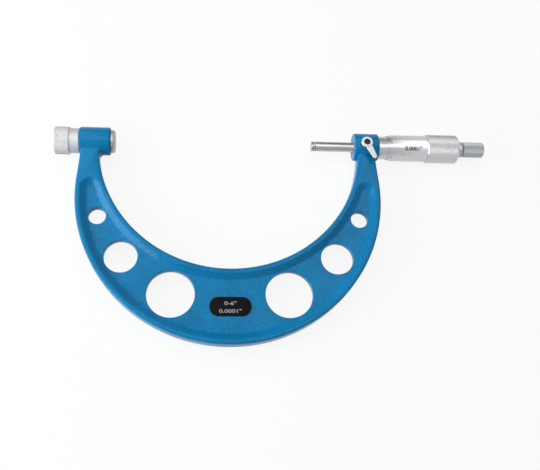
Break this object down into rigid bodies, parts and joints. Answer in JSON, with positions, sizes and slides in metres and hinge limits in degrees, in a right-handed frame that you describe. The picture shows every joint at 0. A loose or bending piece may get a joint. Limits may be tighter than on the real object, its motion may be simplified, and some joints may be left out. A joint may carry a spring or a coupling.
{
  "type": "outside micrometer",
  "caption": "Outside micrometer with a blue cast bow, knurled thimble, ratchet stop, spindle lock and clamped anvil.",
  "frame": {"origin": "centre of the part's outline on the surface it lies on, under the thimble's grip", "axes": "+X along the measuring axis from the anvil to the ratchet, +Y from the bow's belly to that axis, +Z out of the front face"},
  "size_m": [0.281, 0.142, 0.0209],
  "materials": {
    "blue_enamel": "glossy blue stoved enamel on cast iron",
    "satin_chrome": "satin chrome",
    "ground_steel": "ground steel",
    "carbide": "lapped carbide",
    "black_enamel": "black enamel on a thin metal plate",
    "black_steel": "blackened steel",
    "brass": "plain brass"
  },
  "bodies": {
    "bow": {"frame": "blue_enamel", "label_plate": "black_enamel", "anvil_bush": "satin_chrome", "anvil": "ground_steel", "anvil_tip": "carbide", "anvil_setting_nut": "ground_steel", "anvil_lock_nut": "ground_steel", "inner_sleeve": "ground_steel", "adjusting_nut": "ground_steel", "sleeve": "satin_chrome", "lock_pad": "brass"},
    "washer": {"anvil_washer": "ground_steel"},
    "cap": {"anvil_cap_nut": "satin_chrome"},
    "spindle": {"spindle": "ground_steel", "spindle_tip": "carbide"},
    "thimble": {"thimble": "satin_chrome", "ratchet_collar": "satin_chrome", "ratchet_screw": "ground_steel"},
    "ratchet": {"ratchet_knob": "satin_chrome", "ratchet_wheel": "ground_steel", "ratchet_spring": "ground_steel"},
    "lock": {"lock_lever": "satin_chrome", "lock_stud": "ground_steel", "lock_screw": "black_steel"}
  },
  "joints": [
    {"name": "washer_slide", "type": "slide", "parent": "bow", "child": "washer", "axis": [-1, 0, 0], "range_m": [0, 0.003]},
    {"name": "cap_turn", "type": "hinge", "parent": "washer", "child": "cap", "pos_m": [-0.129, 0.0616, 0.0094], "axis": [-1, 0, 0], "range_deg": [0, 1440]},
    {"name": "spindle_slide", "type": "slide", "parent": "bow", "child": "spindle", "axis": [1, 0, 0], "range_m": [0, 0.0254]},
    {"name": "thimble_turn", "type": "hinge", "parent": "spindle", "child": "thimble", "pos_m": [0.091, 0.0616, 0.0094], "axis": [1, 0, 0], "range_deg": [0, 14400]},
    {"name": "ratchet_turn", "type": "hinge", "parent": "thimble", "child": "ratchet", "pos_m": [0.131, 0.0616, 0.0094], "axis": [1, 0, 0], "continuous": true},
    {"name": "lock_turn", "type": "hinge", "parent": "bow", "child": "lock", "pos_m": [0.0597, 0.0605, 0.0177], "axis": [0, 0, 1], "range_deg": [0, 60]}
  ],
  "couplings": [
    {"joint": "cap_turn", "follows": "washer_slide", "rad_per_m": 8377.5},
    {"joint": "thimble_turn", "follows": "spindle_slide", "rad_per_m": 9894.7}
  ]
}
